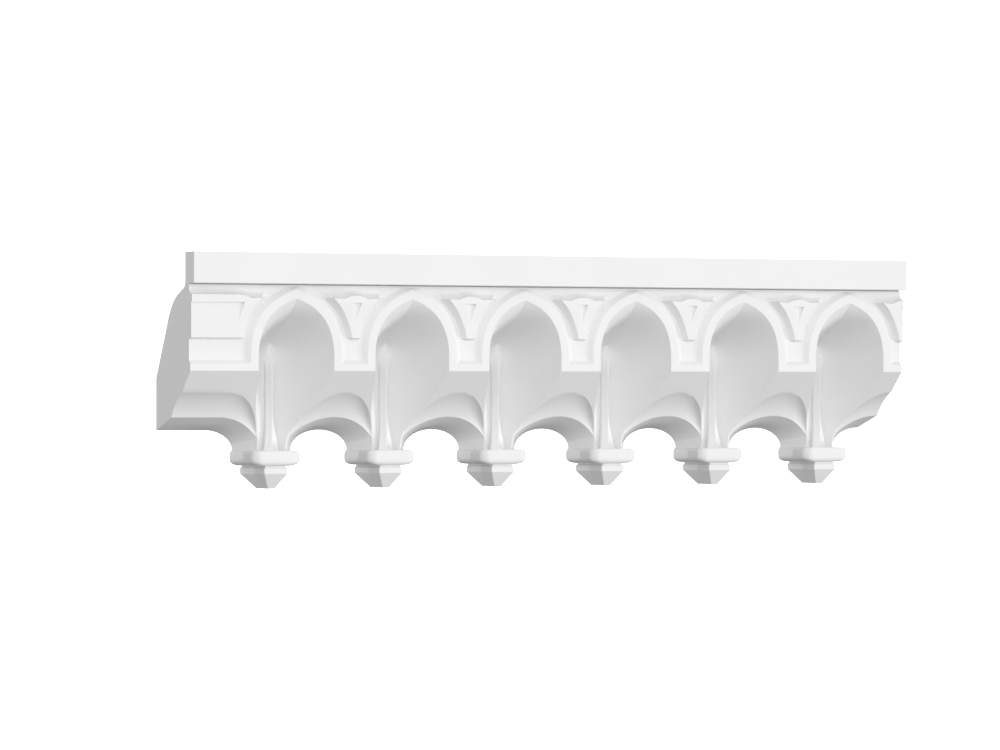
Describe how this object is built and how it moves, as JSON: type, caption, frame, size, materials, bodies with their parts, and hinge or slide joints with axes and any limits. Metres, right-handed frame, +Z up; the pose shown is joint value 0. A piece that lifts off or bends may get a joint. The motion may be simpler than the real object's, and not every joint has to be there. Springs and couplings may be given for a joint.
{
  "type": "flexible cornice",
  "caption": "Gothic cornice moulding: pointed niches with hoods and slender shafts under a flat fascia, a row of small arches below, and a stepped pendant under each niche.",
  "frame": {"origin": "on the flat strip at the back that is glued to the wall, at mid-length, 96 mm below the top edge", "axes": "+X along the cornice, with the plain end at -X; +Y into the wall, so the carved front faces -Y; +Z up"},
  "size_m": [0.512, 0.067, 0.15],
  "materials": {
    "primed_white": "matt white primer on flexible polyurethane"
  },
  "bodies": {
    "root": {"cornice": "primed_white"}
  },
  "joints": []
}
